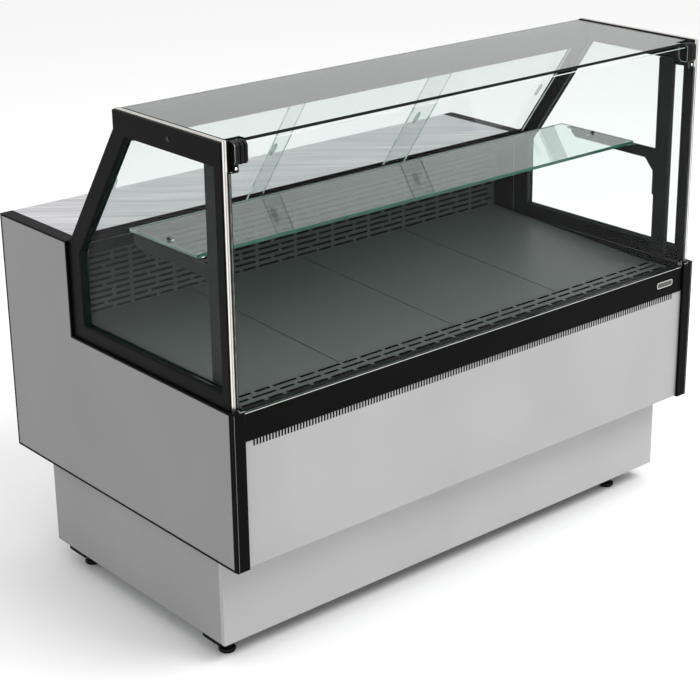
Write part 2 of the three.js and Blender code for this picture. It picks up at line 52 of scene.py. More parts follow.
def make_camera():
    """A long lens from the customer's left, looking down on the case, shifted to hold the uprights up."""
    focal, sensor = 90.66857, 36.0
    shift_x, shift_y = -21.8 / 700.0, -0.07
    yaw, pitch, roll = 0.85758, 0.34774, 0.00848
    ahead = Vector((math.cos(yaw) * math.cos(pitch), math.sin(yaw) * math.cos(pitch), -math.sin(pitch)))
    level = Vector((math.sin(yaw), -math.cos(yaw), 0.0))
    down = ahead.cross(level)
    right = math.cos(roll) * level + math.sin(roll) * down
    up = -(math.cos(roll) * down - math.sin(roll) * level)
    camera = bpy.data.objects.new("camera", bpy.data.cameras.new("camera"))
    camera.data.sensor_width, camera.data.lens = sensor, focal
    camera.data.shift_x, camera.data.shift_y = shift_x, shift_y
    camera.data.clip_start, camera.data.clip_end = 0.05, 60.0
    turn = Matrix((right, up, -ahead)).transposed().to_4x4()
    camera.matrix_world = Matrix.Translation((-2.74298, -3.22935, 2.13099)) @ turn
    bpy.context.scene.collection.objects.link(camera)
    bpy.context.scene.camera = camera


def add_lamp(name, place, target, size, power):
    lamp = bpy.data.objects.new(name, bpy.data.lights.new(name, "AREA"))
    lamp.data.shape = "RECTANGLE"
    lamp.data.size, lamp.data.size_y = size
    lamp.data.energy = power
    lamp.location = place
    lamp.rotation_euler = (Vector(target) - Vector(place)).to_track_quat("-Z", "Y").to_euler()
    bpy.context.scene.collection.objects.link(lamp)


make_camera()
world = bpy.data.worlds.new("studio")
bpy.context.scene.world = world
world.use_nodes = True
sky = world.node_tree.nodes["Background"].inputs
sky["Color"].default_value = (1.0, 1.0, 1.0, 1.0)
sky["Strength"].default_value = 0.94
add_lamp("key", (1.4, -3.6, 5.0), (0.1, -0.2, 0.4), (3.2, 2.6), 195.0)
add_lamp("top", (0.0, 0.6, 4.2), (0.0, 0.0, 0.6), (3.0, 2.4), 20.0)
bpy.context.scene.view_settings.view_transform = "Standard"


# ---------------------------------------------------------------- node helper and colours

def add_node(tree, kind, settings=(), inputs=()):
    """One shader node, with its settings, and with a value or a link on each input, by name or by number."""
    made = tree.nodes.new(kind)
    for key, value in dict(settings).items():
        setattr(made, key, value)
    for key, value in dict(inputs).items():
        if isinstance(value, bpy.types.NodeSocket):
            tree.links.new(value, made.inputs[key])
        else:
            made.inputs[key].default_value = value
    return made


def colour(code, shade=1.0):
    """An sRGB hex colour as linear RGBA, lighter or darker by shade."""
    parts = [int(code[i:i + 2], 16) / 255.0 for i in (1, 3, 5)]
    line = [p / 12.92 if p <= 0.04045 else ((p + 0.055) / 1.055) ** 2.4 for p in parts]
    return (*[min(1.0, p * shade) for p in line], 1.0)


def begin(name):
    """A bare node material and the piece's own coordinates, in metres."""
    material = bpy.data.materials.new(name)
    material.use_nodes = True
    tree = material.node_tree
    tree.nodes.clear()
    place = add_node(tree, "ShaderNodeTexCoord").outputs["Object"]
    return material, tree, place


def end(tree, shader):
    add_node(tree, "ShaderNodeOutputMaterial", inputs={"Surface": shader})


def noise(tree, place, size_mm, detail=2.0, stretch=(1.0, 1.0, 1.0), seed=(0.0, 0.0, 0.0)):
    """Cloudy noise whose blobs are size_mm wide, or stretch times that along each axis."""
    scaled = add_node(tree, "ShaderNodeMapping", inputs={
        "Vector": place, "Location": seed, "Scale": tuple(1.0 / s for s in stretch)})
    made = add_node(tree, "ShaderNodeTexNoise", inputs={
        "Vector": scaled.outputs["Vector"], "Scale": 1.0 / (size_mm * MM), "Detail": detail})
    return made.outputs["Fac"]


def between(tree, factor, low, high):
    """The factor's usual span, 0.3 to 0.7, taken to low..high."""
    return add_node(tree, "ShaderNodeMapRange", inputs={
        "Value": factor, "From Min": 0.3, "From Max": 0.7, "To Min": low, "To Max": high,
    }).outputs["Result"]


MIX_A, MIX_B, MIX_RESULT = 6, 7, 2  # where the mix node keeps its two colours and its answer


def blend(tree, factor, first, second):
    """One colour turning to another with factor."""
    made = add_node(tree, "ShaderNodeMix", {"data_type": "RGBA"}, {0: factor, MIX_A: first, MIX_B: second})
    return made.outputs[MIX_RESULT]


# ---------------------------------------------------------------- materials

def powder_coat(name, code, rough=0.52, specular=0.35, drift=0.035):
    """Polyester powder baked on sheet steel: even colour, a fine orange peel and a soft spread sheen."""
    material, tree, place = begin(name)
    cloud = noise(tree, place, 260.0, 1.0)
    peel = noise(tree, place, 2.2, 2.0)  # real peel is about 1 mm, drawn coarser so that it shows
    tone = blend(tree, between(tree, cloud, 0.0, 1.0), colour(code, 1.0 - drift), colour(code, 1.0 + drift))
    bump = add_node(tree, "ShaderNodeBump", inputs={"Strength": 0.22, "Distance": 0.0003, "Height": peel})
    end(tree, add_node(tree, "ShaderNodeBsdfPrincipled", inputs={
        "Base Color": tone, "Roughness": between(tree, peel, rough - 0.05, rough + 0.05),
        "Specular IOR Level": specular, "Normal": bump.outputs["Normal"]}).outputs["BSDF"])
    return material


def moulded_black(name, code="#0D0D0D", rough=0.42, specular=0.12):
    """Injection-moulded ABS or nylon: black through, with a fine spark-eroded grain that dulls it."""
    material, tree, place = begin(name)
    grain = noise(tree, place, 0.9, 3.0)
    rub = noise(tree, place, 34.0, 2.0)
    tone = blend(tree, between(tree, rub, 0.0, 1.0), colour(code, 0.85), colour(code, 1.25))
    bump = add_node(tree, "ShaderNodeBump", inputs={"Strength": 0.25, "Distance": 0.0002, "Height": grain})
    end(tree, add_node(tree, "ShaderNodeBsdfPrincipled", inputs={
        "Base Color": tone, "Roughness": between(tree, grain, rough - 0.06, rough + 0.08),
        "Specular IOR Level": specular, "IOR": 1.53, "Normal": bump.outputs["Normal"]}).outputs["BSDF"])
    return material


def satin_black_profile(name, code="#161616", along=(1.0, 1.0, 1.0), specular=0.22):
    """Extruded aluminium, anodised black: satin, with faint die lines that run along the length."""
    material, tree, place = begin(name)
    lines = noise(tree, place, 1.4, 2.0, along)
    cloud = noise(tree, place, 90.0, 1.0)
    tone = blend(tree, between(tree, cloud, 0.0, 1.0), colour(code, 0.9), colour(code, 1.15))
    bump = add_node(tree, "ShaderNodeBump", inputs={"Strength": 0.12, "Distance": 0.0002, "Height": lines})
    end(tree, add_node(tree, "ShaderNodeBsdfPrincipled", inputs={
        "Base Color": tone, "Roughness": between(tree, lines, 0.36, 0.48),
        "Specular IOR Level": specular, "Normal": bump.outputs["Normal"]}).outputs["BSDF"])
    return material


def bright_anodised(name, code="#E4E2DE", rough=0.26, along=(1.0, 1.0, 60.0)):
    """Clear-anodised aluminium trim: bright and even, with drawn lines along its length."""
    material, tree, place = begin(name)
    lines = noise(tree, place, 0.7, 2.0, along)
    tone = blend(tree, between(tree, lines, 0.0, 1.0), colour(code, 0.94), colour(code, 1.04))
    bump = add_node(tree, "ShaderNodeBump", inputs={"Strength": 0.15, "Distance": 0.0001, "Height": lines})
    end(tree, add_node(tree, "ShaderNodeBsdfPrincipled", inputs={
        "Base Color": tone, "Metallic": 1.0, "Roughness": between(tree, lines, rough - 0.05, rough + 0.07),
        "Normal": bump.outputs["Normal"]}).outputs["BSDF"])
    return material


BRUSH_ANGLE = math.radians(38.7)  # between the brushing and the length of the case


def brushed_stainless(name):
    """Stainless steel, belt-brushed askew to the case: long hair lines with wider light and dark bands."""
    material, tree, place = begin(name)
    place = add_node(tree, "ShaderNodeMapping", inputs={
        "Vector": place, "Rotation": (0.0, 0.0, BRUSH_ANGLE)}).outputs["Vector"]
    bands = noise(tree, place, 9.0, 2.0, (45.0, 1.0, 1.0))
    wide = noise(tree, place, 42.0, 1.0, (9.0, 1.0, 1.0), (3.0, 1.0, 0.0))
    hair = noise(tree, place, 1.1, 3.0, (140.0, 1.0, 1.0))  # real lines are 0.1 mm, drawn coarser so that they show
    tint = blend(tree, between(tree, wide, 0.0, 1.0), colour("#DEDEE2"), colour("#F0F0EE"))
    streak = blend(tree, between(tree, bands, 0.0, 1.0), colour("#CCCCD2"), colour("#F2F2F0"))
    both = add_node(tree, "ShaderNodeMix", {"data_type": "RGBA", "blend_type": "MULTIPLY"},
                    {0: 1.0, MIX_A: tint, MIX_B: streak})
    bump = add_node(tree, "ShaderNodeBump", inputs={"Strength": 0.3, "Distance": 0.0002, "Height": hair})
    end(tree, add_node(tree, "ShaderNodeBsdfPrincipled", inputs={
        "Base Color": both.outputs[MIX_RESULT], "Metallic": 1.0, "Roughness": between(tree, bands, 0.33, 0.46),
        "Anisotropic": 0.5, "Normal": bump.outputs["Normal"]}).outputs["BSDF"])
    return material


def galvanised_sheet(name):
    """Hot-dip galvanised steel: pale grey with a flowered spangle of zinc crystals."""
    material, tree, place = begin(name)
    spangle = add_node(tree, "ShaderNodeTexVoronoi", inputs={"Vector": place, "Scale": 1.0 / (9.0 * MM)})
    tone = blend(tree, spangle.outputs["Color"], colour("#8F9599"), colour("#B4B9BC"))
    rough = add_node(tree, "ShaderNodeMapRange", inputs={
        "Value": spangle.outputs["Distance"], "From Min": 0.0, "From Max": 0.7, "To Min": 0.36, "To Max": 0.55})
    end(tree, add_node(tree, "ShaderNodeBsdfPrincipled", inputs={
        "Base Color": tone, "Metallic": 0.85, "Roughness": rough.outputs["Result"]}).outputs["BSDF"])
    return material


def finned_aluminium(name):
    """A block of thin aluminium fins on tubes, drawn as bands: the light bands are the fins' bright aluminium, the
    dark bands are painted shade in the gaps between them.
    """
    material, tree, place = begin(name)
    fins = add_node(tree, "ShaderNodeTexWave", {"wave_type": "BANDS", "bands_direction": "X"}, {
        "Vector": place, "Scale": 0.314 / (5.0 * MM)})  # real pitch is about 2.5 mm, drawn coarser so that it shows
    # dark: painted shade between the fins; light: the fins' own aluminium
    tone = blend(tree, fins.outputs["Fac"], colour("#3A3D40"), colour("#C9CCCE"))
    bump = add_node(tree, "ShaderNodeBump", inputs={
        "Strength": 0.8, "Distance": 0.002, "Height": fins.outputs["Fac"]})
    end(tree, add_node(tree, "ShaderNodeBsdfPrincipled", inputs={
        "Base Color": tone, "Metallic": 0.9, "Roughness": between(tree, fins.outputs["Fac"], 0.35, 0.5),
        "Normal": bump.outputs["Normal"]}).outputs["BSDF"])
    return material


def moulded_liner(name):
    """Vacuum-formed white-grey ABS liner over foam: smooth, faintly pebbled."""
    return powder_coat(name, "#BFC2C2", 0.4, 0.4, 0.02)


def float_glass(name, code, ior):
    """Clear float glass with a slight green cast, polished; lamps shine straight through the pane.

    A pane with a low-reflection coating has a lower index, which takes the room's glare off it.
    """
    material, tree, place = begin(name)
    cast = noise(tree, place, 500.0, 1.0)
    tone = blend(tree, between(tree, cast, 0.0, 1.0), colour(code, 0.99), colour(code, 1.01))
    pane = add_node(tree, "ShaderNodeBsdfPrincipled", inputs={
        "Base Color": tone, "Roughness": 0.0, "IOR": ior, "Transmission Weight": 1.0})
    through = add_node(tree, "ShaderNodeBsdfTransparent", inputs={"Color": colour(code)})
    path = add_node(tree, "ShaderNodeLightPath")
    unseen = add_node(tree, "ShaderNodeMath", {"operation": "MAXIMUM"}, {
        0: path.outputs["Is Shadow Ray"], 1: path.outputs["Is Diffuse Ray"]})
    end(tree, add_node(tree, "ShaderNodeMixShader", inputs={
        0: unseen.outputs["Value"], 1: pane.outputs["BSDF"], 2: through.outputs["BSDF"]}).outputs["Shader"])
    return material


def polished_edge(name, code="#174B3D", specular=0.3):
    """The ground and polished edge of a glass sheet: deep green along the glass, pale or grey where light gets in."""
    material, tree, place = begin(name)
    depth = noise(tree, place, 14.0, 2.0, (9.0, 9.0, 1.0))
    tone = blend(tree, between(tree, depth, 0.0, 1.0), colour(code, 0.7), colour(code, 1.35))
    end(tree, add_node(tree, "ShaderNodeBsdfPrincipled", inputs={
        "Base Color": tone, "Roughness": between(tree, depth, 0.08, 0.18), "IOR": 1.52,
        "Specular IOR Level": specular}).outputs["BSDF"])
    return material


def clear_moulding(name, code="#F2F7F5"):
    """A clear polycarbonate moulding: frosted by its grain, so that it shows pale and a little milky.

    Its index is set low, so that so small a piece stays light against the glass behind it.
    """
    material, tree, place = begin(name)
    grain = noise(tree, place, 1.2, 2.0)
    tone = blend(tree, between(tree, grain, 0.0, 1.0), colour(code, 0.95), colour(code, 1.05))
    bump = add_node(tree, "ShaderNodeBump", inputs={"Strength": 0.2, "Distance": 0.0002, "Height": grain})
    end(tree, add_node(tree, "ShaderNodeBsdfPrincipled", inputs={
        "Base Color": tone, "Roughness": between(tree, grain, 0.18, 0.32), "IOR": 1.25,
        "Transmission Weight": 0.75, "Normal": bump.outputs["Normal"]}).outputs["BSDF"])
    return material


def soft_rubber(name):
    """Extruded black rubber: matt, a little dusty."""
    return moulded_black(name, "#0C0C0C", 0.72, 0.12)


GREY_PANEL = powder_coat("grey_powder_coat_on_insulated_panel", "#8A8A8A", 0.55, 0.15)
GREY_SHEET = powder_coat("grey_powder_coat_on_sheet", "#919191", 0.55, 0.15)
PALE_SHEET = powder_coat("pale_grey_powder_coat", "#A3A3A3", 0.55, 0.15)
PLINTH_SHEET = powder_coat("pale_grey_powder_coat_plinth", "#AAAAAA", 0.55, 0.15)
DARK_SHEET = powder_coat("charcoal_powder_coat", "#474A49", 0.42, 0.4)
DUCT_SHEET = powder_coat("charcoal_powder_coat_duct", "#484B4A", 0.5, 0.1)
# painted shade: a near-black sheet set behind slots and vents, standing in for the shade inside the air channels
SHADE_BEHIND_SLOTS = powder_coat("painted_shade_behind_slots", "#040404", 0.85, 0.02)
BLACK_ALONG_X = satin_black_profile("black_anodised_profile_along_x", "#0A0A0A", (60.0, 1.0, 1.0), 0.05)
BLACK_FRAME = satin_black_profile("black_anodised_side_frame", "#0C0C0C", specular=0.05)
BLACK_CAP = satin_black_profile("black_anodised_end_cap", "#080808", specular=0.035)
BLACK_SHEET = powder_coat("black_powder_coat", "#090909", 0.45, 0.05)
BRACKET_SHEET = satin_black_profile("charcoal_satin_bracket", "#191A1A", specular=0.08)
BLACK_MOULDING = moulded_black("moulded_black_plastic")
BLACK_ENAMEL = powder_coat("black_enamel", "#0E0E0E", 0.22, 0.4)
RUBBER = soft_rubber("black_rubber_gasket")
BRIGHT_TRIM = bright_anodised("clear_anodised_trim")
BEIGE_TRIM = bright_anodised("satin_anodised_trim_web", "#B9AFA8", 0.45)
BRIGHT_ALONG_X = bright_anodised("clear_anodised_trim_along_x", along=(60.0, 1.0, 1.0))
CHROME = bright_anodised("nickel_plated_screw", "#E8E8E8", 0.16, (1.0, 1.0, 1.0))
STAINLESS = brushed_stainless("brushed_stainless_steel")
GALVANISED = galvanised_sheet("galvanised_steel")
FINS = finned_aluminium("aluminium_fins_with_painted_shade")
LINER = moulded_liner("moulded_liner")
PANE = float_glass("low_reflection_float_glass", "#F9FCFB", 1.1)
DOOR_GLASS = float_glass("low_reflection_float_glass_door", "#F0F4F3", 1.12)
SHELF_GLASS = float_glass("clear_float_glass_shelf", "#E9F3F0", 1.3)
TOP_GLASS = float_glass("clear_float_glass_top", "#E9F1EE", 1.36)
GLASS_EDGE = polished_edge("polished_glass_edge")
DARK_EDGE = polished_edge("polished_glass_edge_in_shade", "#0A211B", 0.15)
TRIM_GREEN = moulded_black("dark_green_edge_trim", "#06120E", 0.4, 0.1)
PALE_EDGE = polished_edge("polished_glass_edge_in_light", "#84948F")
# painted light: a pale edge for the door panes and the front glass's top edge, as a glass edge looks where light gets
# in
LIT_GLASS_EDGE = polished_edge("polished_glass_edge_in_bright_light", "#D6E2DF", 0.1)
# painted light: a grey edge for the ends of the front glass, lit less than the pale ones
HALF_LIT_GLASS_EDGE = polished_edge("polished_glass_edge_half_lit", "#6E7472", 0.2)
CLEAR_PLASTIC = clear_moulding("clear_polycarbonate")
# painted highlight: the pale lines laid along the corner posts' edges, where light catches them
EDGE_HIGHLIGHT = bright_anodised("painted_edge_highlight", "#8E8C89", 0.5)


# ---------------------------------------------------------------- mesh helpers

def from_front(yf):
    """A distance behind the case's front, in mm, as a place along Y in metres."""
    return FRONT + yf * MM


AXES = {"x": lambda u, v, w: (w * MM, from_front(u), v * MM),
        "y": lambda u, v, w: (u * MM, from_front(w), v * MM),
        "z": lambda u, v, w: (u * MM, from_front(v), w * MM)}


def prism(mesh, axis, outline, start, end, slot=0):
    """An outline pushed along one axis. It is (Y, Z) for x, (X, Z) for y and (X, Y) for z, in mm."""
    to = AXES[axis]
    low = [mesh.verts.new(to(u, v, start)) for u, v in outline]
    high = [mesh.verts.new(to(u, v, end)) for u, v in outline]
    faces = [mesh.faces.new(low), mesh.faces.new(high)]
    for i in range(len(outline)):
        j = (i + 1) % len(outline)
        faces.append(mesh.faces.new((low[i], low[j], high[j], high[i])))
    for face in faces:
        face.material_index = slot
    return faces


def block(mesh, x, y, z, slot=0):
    return prism(mesh, "x", [(y[0], z[0]), (y[1], z[0]), (y[1], z[1]), (y[0], z[1])], x[0], x[1], slot)


def ring(mesh, axis, outer, inner, start, end, slot=0):
    """The band between two outlines with the same number of corners, pushed along one axis."""
    to = AXES[axis]
    loops = [[mesh.verts.new(to(u, v, w)) for u, v in line]
             for line, w in ((outer, start), (outer, end), (inner, end), (inner, start))]
    count = len(outer)
    for a, b in ((0, 1), (1, 2), (2, 3), (3, 0)):
        for i in range(count):
            j = (i + 1) % count
            face = mesh.faces.new((loops[a][i], loops[a][j], loops[b][j], loops[b][i]))
            face.material_index = slot


def shrink(outline, by):
    """The outline moved inwards by the same distance on every side."""
    area = sum(a[0] * b[1] - b[0] * a[1] for a, b in zip(outline, outline[1:] + outline[:1]))
    hand = 1.0 if area > 0 else -1.0
    moved = []
    for i, here in enumerate(outline):
        before, after = Vector(outline[i - 1]), Vector(outline[(i + 1) % len(outline)])
        one = (Vector(here) - before).normalized()
        two = (after - Vector(here)).normalized()
        n1, n2 = Vector((-one.y, one.x)) * hand, Vector((-two.y, two.x)) * hand
        middle = (n1 + n2).normalized()
        moved.append(tuple(Vector(here) + middle * (by / max(0.2, middle.dot(n1)))))
    return moved


def cell_sheet(mesh, axis, cuts_u, cuts_v, start, end, is_open, slot=0):
    """A flat sheet laid out as cells between cuts, with a hole in each cell that is_open."""
    to = AXES[axis]
    nu, nv = len(cuts_u) - 1, len(cuts_v) - 1
    solid = [[not is_open((cuts_u[i] + cuts_u[i + 1]) / 2, (cuts_v[j] + cuts_v[j + 1]) / 2)
              for j in range(nv)] for i in range(nu)]
    corners = {}

    def corner(i, j, k):
        key = (i, j, k)
        if key not in corners:
            corners[key] = mesh.verts.new(to(cuts_u[i], cuts_v[j], (start, end)[k]))
        return corners[key]

    def is_solid(i, j):
        return 0 <= i < nu and 0 <= j < nv and solid[i][j]

    for i in range(nu):
        for j in range(nv):
            if not solid[i][j]:
                continue
            rims = [((i, j), (i + 1, j), is_solid(i, j - 1)), ((i + 1, j), (i + 1, j + 1), is_solid(i + 1, j)),
                    ((i + 1, j + 1), (i, j + 1), is_solid(i, j + 1)), ((i, j + 1), (i, j), is_solid(i - 1, j))]
            for k in (0, 1):
                mesh.faces.new([corner(*a, k) for a, _, _ in rims]).material_index = slot
            for a, b, covered in rims:
                if not covered:
                    mesh.faces.new((corner(*a, 0), corner(*b, 0), corner(*b, 1), corner(*a, 1))).material_index = slot


def lathe(mesh, profile, centre, direction, steps=32, slot=0):
    """A profile of (radius, distance) in mm, turned about a line through centre, in metres."""
    along = Vector(direction).normalized()
    side = along.orthogonal().normalized()
    other = along.cross(side)
    rings = []
    for radius, distance in profile:
        middle = Vector(centre) + along * (distance * MM)
        if radius == 0:
            rings.append([mesh.verts.new(middle)])
            continue
        rings.append([mesh.verts.new(middle + radius * MM * (
            math.cos(2 * math.pi * s / steps) * side + math.sin(2 * math.pi * s / steps) * other))
            for s in range(steps)])
    for near, far in zip(rings, rings[1:]):
        for s in range(steps):
            t = (s + 1) % steps
            loop = [near[s % len(near)], near[t % len(near)], far[t % len(far)], far[s % len(far)]]
            unique = list(dict.fromkeys(loop))
            if len(unique) > 2:
                mesh.faces.new(unique).material_index = slot


def finish_piece(name, mesh, materials, body, bevel=0.0, segments=2, replaces=(), smooth=False):
    """Turns a bmesh into a piece: outward faces, softened edges, its materials, its body and slot."""
    bmesh.ops.recalc_face_normals(mesh, faces=mesh.faces)
    data = bpy.data.meshes.new(name)
    mesh.to_mesh(data)
    mesh.free()
    made = bpy.data.objects.new(name, data)
    bpy.context.scene.collection.objects.link(made)
    for material in materials:
        data.materials.append(material)
    if bevel:
        soften(made, bevel, segments)
    if smooth:
        for polygon in data.polygons:
            polygon.use_smooth = True
        made.modifiers.new("shade", "EDGE_SPLIT").split_angle = math.radians(35)
    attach(made, body)
    if replaces:
        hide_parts(*replaces)
    return made


def soften(made, width_mm, segments=2):
    """Breaks the piece's sharp edges, as folding, sawing or moulding leaves them."""
    cut = made.modifiers.new("edge", "BEVEL")
    cut.width = width_mm * MM
    cut.segments = segments
    cut.limit_method = "ANGLE"
    cut.angle_limit = math.radians(40)
    cut.harden_normals = False


def dress(node_name, material, bevel=0.0):
    """Gives a CAD node its material, and breaks its edges if asked."""
    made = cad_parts[node_name]
    if not made.data.materials:
        made.data.materials.append(material)
    for index in range(len(made.material_slots)):
        made.material_slots[index].material = material
    if bevel:
        soften(made, bevel)


def extents(node_name):
    """A node's box as mm ranges: X, distance behind the front, and height."""
    low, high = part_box(node_name)
    return ([low.x / MM, high.x / MM], [(low.y - FRONT) / MM, (high.y - FRONT) / MM], [low.z / MM, high.z / MM])


SIDES = (("left", -1), ("right", 1))
END_X = extents("end_panel_right")[0]
HALF = END_X[1]
INNER = END_X[0]


def mirrored(side, x_low, x_high):
    """A range on the right-hand end, or the same range on the left."""
    return (x_low, x_high) if side > 0 else (-x_high, -x_low)


# ---------------------------------------------------------------- end panels, posts and front

PANEL_LOW = extents("corner_post_right")[2][1]
BODY_Z = extents("end_panel_right")[2][0]
PANEL_HIGH = extents("end_panel_right")[2][1]
PANEL_REAR = extents("end_panel_right")[1][1]
STEP_Y = 625.0  # where the end panels step up to the height of the worktop
BEHIND_POST = 7.3
PANEL_OUTLINE = [(BEHIND_POST, BODY_Z), (PANEL_REAR, BODY_Z), (PANEL_REAR, PANEL_HIGH),
                 (STEP_Y, PANEL_HIGH), (STEP_Y, PANEL_LOW), (BEHIND_POST, PANEL_LOW)]
EDGING_PROUD, EDGING_WIDE = 0.7, 4.6

for hand, side in SIDES:
    dress(f"end_panel_{hand}", GREY_PANEL)
    skin = bmesh.new()
    ring(skin, "x", shrink(PANEL_OUTLINE, -EDGING_PROUD), shrink(PANEL_OUTLINE, EDGING_WIDE),
         *mirrored(side, INNER + 0.2, HALF + EDGING_PROUD))
    finish_piece(f"end_panel_edging_{hand}", skin, [BLACK_CAP], "case", 0.5)
    post = bmesh.new()
    block(post, mirrored(side, INNER, HALF), (0.0, 6.8), (BODY_Z - 0.5, PANEL_LOW + 0.5))
    finish_piece(f"corner_post_cover_{hand}", post, [BLACK_CAP], "case", 0.9,
                 replaces=(f"corner_post_{hand}",))
    # pale lines down the outer edge of the post's front and across its top: painted highlight where light catches the
    # edges
    line = bmesh.new()
    block(line, mirrored(side, HALF - 5.4, HALF - 4.4), (-0.3, 2.0), (BODY_Z + 2, PANEL_LOW - 3))
    block(line, mirrored(side, INNER + 0.4, INNER + 15), (-0.35, 1.5), (PANEL_LOW - 1.6, PANEL_LOW + 0.8))
    block(line, mirrored(side, INNER + 13, INNER + 15), (-0.35, 9.0), (PANEL_LOW - 1.6, PANEL_LOW + 4.5))
    finish_piece(f"corner_post_painted_highlight_{hand}", line, [EDGE_HIGHLIGHT], "case", 0.25)

bumper_x, bumper_y, bumper_z = extents("front_bumper")
bar = bmesh.new()
prism(bar, "x", [(bumper_y[0], bumper_z[0]), (bumper_y[1], bumper_z[0]), (bumper_y[1], bumper_z[1]),
                 (bumper_y[0] + 1.0, bumper_z[1]), (bumper_y[0], bumper_z[1] - 1.0)], *bumper_x)
finish_piece("front_bumper_profile", bar, [BLACK_CAP], "case", 0.6,
             replaces=("front_bumper",))
lip = bmesh.new()
prism(lip, "x", [(bumper_y[0] - 0.4, bumper_z[1] - 2.2), (bumper_y[0] + 0.6, bumper_z[1] - 2.2),
                 (bumper_y[0] + 0.6, bumper_z[1] - 0.9), (bumper_y[0] - 0.4, bumper_z[1] - 1.2)],
      bumper_x[0] + 1, bumper_x[1] - 1)
finish_piece("front_bumper_bright_line", lip, [BRIGHT_ALONG_X], "case")

badge = bmesh.new()
rounded = [(618, 605), (621, 602), (674, 602), (677, 605),
           (677, 615.5), (674, 618.5), (621, 618.5), (618, 615.5)]
ring(badge, "y", rounded, shrink(rounded, 1.7), bumper_y[0] - 1.6, bumper_y[0] + 0.3, 0)
prism(badge, "y", shrink(rounded, 1.7), bumper_y[0] - 0.7, bumper_y[0] + 0.3, 1)
finish_piece("blank_badge", badge, [BRIGHT_ALONG_X, DARK_SHEET], "case", 0.3)

panel_x, panel_y, panel_z = extents("front_panel")
TOOTH_PITCH, TOOTH_GAP, TOOTH_DEPTH = 8.5, 5.0, 16.0
COMB_START, COMB_END = -690.0, 687.0
SHEET = 0.9  # visible sheet thickness beside a slot
gap_foot = panel_z[1] - TOOTH_DEPTH
cuts = [panel_x[0]]
for tooth in range(int((COMB_END - COMB_START) / TOOTH_PITCH)):
    cuts += [COMB_START + tooth * TOOTH_PITCH, COMB_START + tooth * TOOTH_PITCH + TOOTH_GAP]
cuts.append(panel_x[1])


def in_comb_gap(u, v):
    return v > gap_foot and COMB_START < u < cuts[-2] and (u - COMB_START) % TOOTH_PITCH < TOOTH_GAP


comb = bmesh.new()
cell_sheet(comb, "y", cuts, [panel_z[0], gap_foot, panel_z[1]], panel_y[0], panel_y[0] + SHEET, in_comb_gap)
for side in (-1, 1):
    block(comb, mirrored(side, panel_x[1] - 1.5, panel_x[1]), (panel_y[0] + SHEET, panel_y[1]), panel_z)
finish_piece("front_panel_sheet", comb, [PALE_SHEET], "case", replaces=("front_panel",))
# a near-black sheet behind the comb's gaps: painted shade seen through the vent
shade = bmesh.new()
block(shade, (panel_x[0] + 2, panel_x[1] - 2), (panel_y[0] + 3.0, panel_y[0] + 4.5),
      (gap_foot - 6, panel_z[1]))
finish_piece("front_panel_vent_painted_shade", shade, [SHADE_BEHIND_SLOTS], "case")

# ---------------------------------------------------------------- plinth, base and feet

dress("plinth_front", PLINTH_SHEET, 1.0)
dress("plinth_side_left", GREY_SHEET, 0.5)
dress("plinth_side_right", GREY_SHEET, 0.5)
dress("base_frame", GALVANISED)
dress("insulated_body", LINER, 1.0)
bar_z = extents("base_frame")[2][0]
COATING, BAR_END = 0.4, 30
plinth_x, _, plinth_z = extents("plinth_front")
for end_name, bar_y in (("front", (111.0, 175.0)), ("rear", (675.0, 742.0))):
    skid = bmesh.new()
    coated_y = (bar_y[0] - COATING, bar_y[1] + COATING)
    for side in (-1, 1):
        block(skid, mirrored(side, plinth_x[1] - BAR_END, plinth_x[1] + COATING), coated_y,
              (bar_z - COATING, plinth_z[0] - 0.2))
    block(skid, (-plinth_x[1] + BAR_END, plinth_x[1] - BAR_END), coated_y, (bar_z - COATING, bar_z + 2))
    finish_piece(f"base_bar_coating_{end_name}", skid, [BLACK_SHEET], "case", 0.4)

FOOT_PROFILE = [(0, 0), (16.5, 0), (19.2, 1.2), (20.4, 3.5), (20.4, 7.5), (18.6, 10.4), (14.5, 11.8),
                (12.6, 12.4), (12.2, 20.5), (8.4, 21.2), (8.2, 22), (6.2, 22), (6.2, 33), (10.5, 33),
                (10.5, 39.4), (0, 39.4)]
for where in ("front_left", "front_right", "rear_left", "rear_right"):
    foot_x, foot_y, _ = extents(f"foot_{where}")
    foot = bmesh.new()
    lathe(foot, FOOT_PROFILE, ((foot_x[0] + foot_x[1]) / 2 * MM, from_front((foot_y[0] + foot_y[1]) / 2), 0),
          (0, 0, 1), 40)
    finish_piece(f"levelling_foot_{where}", foot, [BLACK_MOULDING], "case",
                 replaces=(f"foot_{where}",), smooth=True)

grille_x, grille_y, grille_z = extents("plinth_rear_grille")
LOUVRE_START, LOUVRE_PITCH, LOUVRE_WIDE, LOUVRES = 130, 26, 10, 14
LOUVRE_ROWS = ((112, 156), (172, 216))
slot_starts = [LOUVRE_START + LOUVRE_PITCH * i for i in range(LOUVRES)]
slot_cuts = sorted({*grille_x, *slot_starts, *[start + LOUVRE_WIDE for start in slot_starts]})


def in_louvre(u, v):
    return (any(low < v < high for low, high in LOUVRE_ROWS)
            and any(start < u < start + LOUVRE_WIDE for start in slot_starts))


louvre = bmesh.new()
cell_sheet(louvre, "y", slot_cuts, [grille_z[0], *LOUVRE_ROWS[0], *LOUVRE_ROWS[1], grille_z[1]], *grille_y,
           in_louvre)
finish_piece("plinth_rear_sheet", louvre, [GREY_SHEET], "case", replaces=("plinth_rear_grille",))

# ---------------------------------------------------------------- display deck, duct and grille

